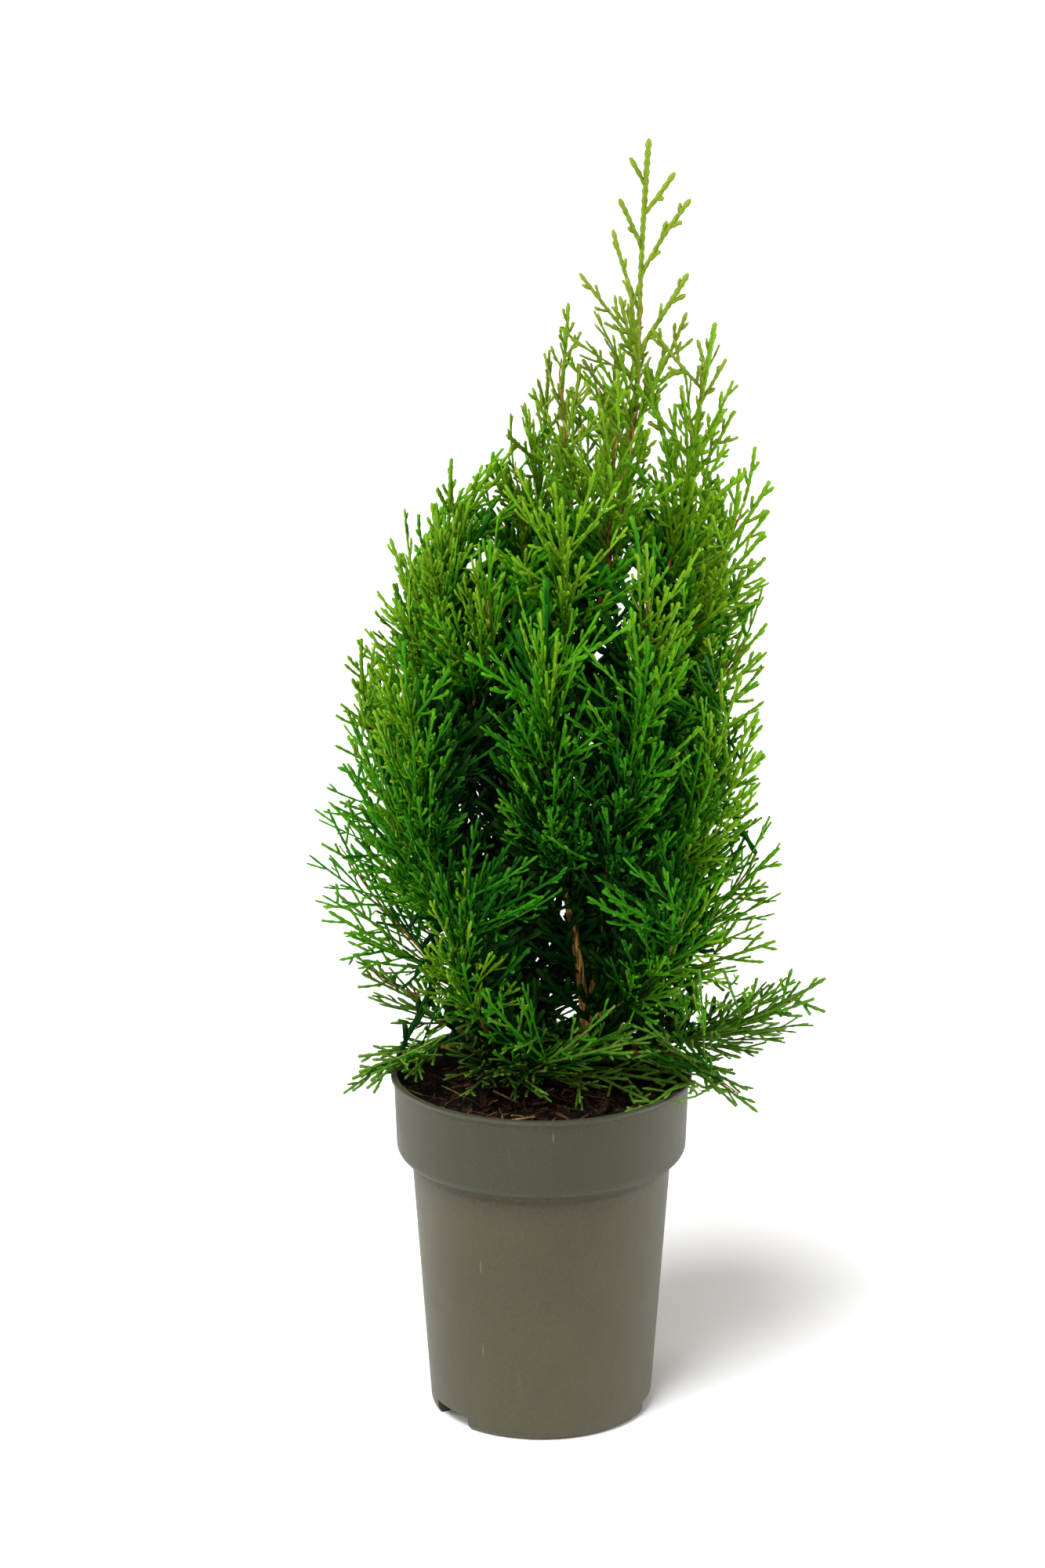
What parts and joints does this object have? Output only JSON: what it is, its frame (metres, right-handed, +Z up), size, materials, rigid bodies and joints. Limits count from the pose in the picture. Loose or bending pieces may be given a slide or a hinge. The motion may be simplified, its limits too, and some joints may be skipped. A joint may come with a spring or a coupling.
{
  "type": "potted thuja",
  "caption": "Young thuja in a round nursery pot: thin upright stems, upswept boughs and an uneven teardrop crown of fan-shaped green sprays.",
  "frame": {"origin": "centre of the pot's flat underside, on the ground", "axes": "+Z up the pot's axis, -Y towards the side seen as the front, +X to the right of it"},
  "size_m": [0.2559, 0.2094, 0.641],
  "materials": {
    "pot": "satin",
    "soil": "matte",
    "bark": "matte",
    "foliage": "matte"
  },
  "bodies": {
    "root": {"bough_back_left_low": "bark", "bough_back_right_low": "bark", "bough_back_skirt": "bark", "bough_front_left_low": "bark", "bough_front_plume": "bark", "bough_front_right_low": "bark", "bough_front_skirt": "bark", "bough_left_droop": "bark", "bough_left_low": "bark", "bough_left_skirt": "bark", "bough_right_droop": "bark", "bough_right_low": "bark", "bough_right_skirt": "bark", "foliage_back": "foliage", "foliage_back_left": "foliage", "foliage_back_left_low": "foliage", "foliage_back_left_upper": "foliage", "foliage_back_right": "foliage", "foliage_back_right_low": "foliage", "foliage_back_right_upper": "foliage", "foliage_back_skirt": "foliage", "foliage_back_upper": "foliage", "foliage_front_left": "foliage", "foliage_front_left_low": "foliage", "foliage_front_left_upper": "foliage", "foliage_front_plume": "foliage", "foliage_front_right": "foliage", "foliage_front_right_low": "foliage", "foliage_front_right_outer": "foliage", "foliage_front_right_upper": "foliage", "foliage_front_skirt": "foliage", "foliage_front_upper": "foliage", "foliage_heart": "foliage", "foliage_leader": "foliage", "foliage_left_droop": "foliage", "foliage_left_low": "foliage", "foliage_left_outer": "foliage", "foliage_left_peak": "foliage", "foliage_left_shoulder": "foliage", "foliage_left_skirt": "foliage", "foliage_left_upper": "foliage", "foliage_right_droop": "foliage", "foliage_right_low": "foliage", "foliage_right_outer": "foliage", "foliage_right_shoulder": "foliage", "foliage_right_skirt": "foliage", "foliage_right_upper": "foliage", "foliage_top_back": "foliage", "foliage_top_front": "foliage", "foliage_top_left": "foliage", "foliage_top_right": "foliage", "pot": "pot", "soil": "soil", "stem_back": "bark", "stem_left": "bark", "stem_right": "bark", "trunk": "bark"}
  },
  "joints": []
}
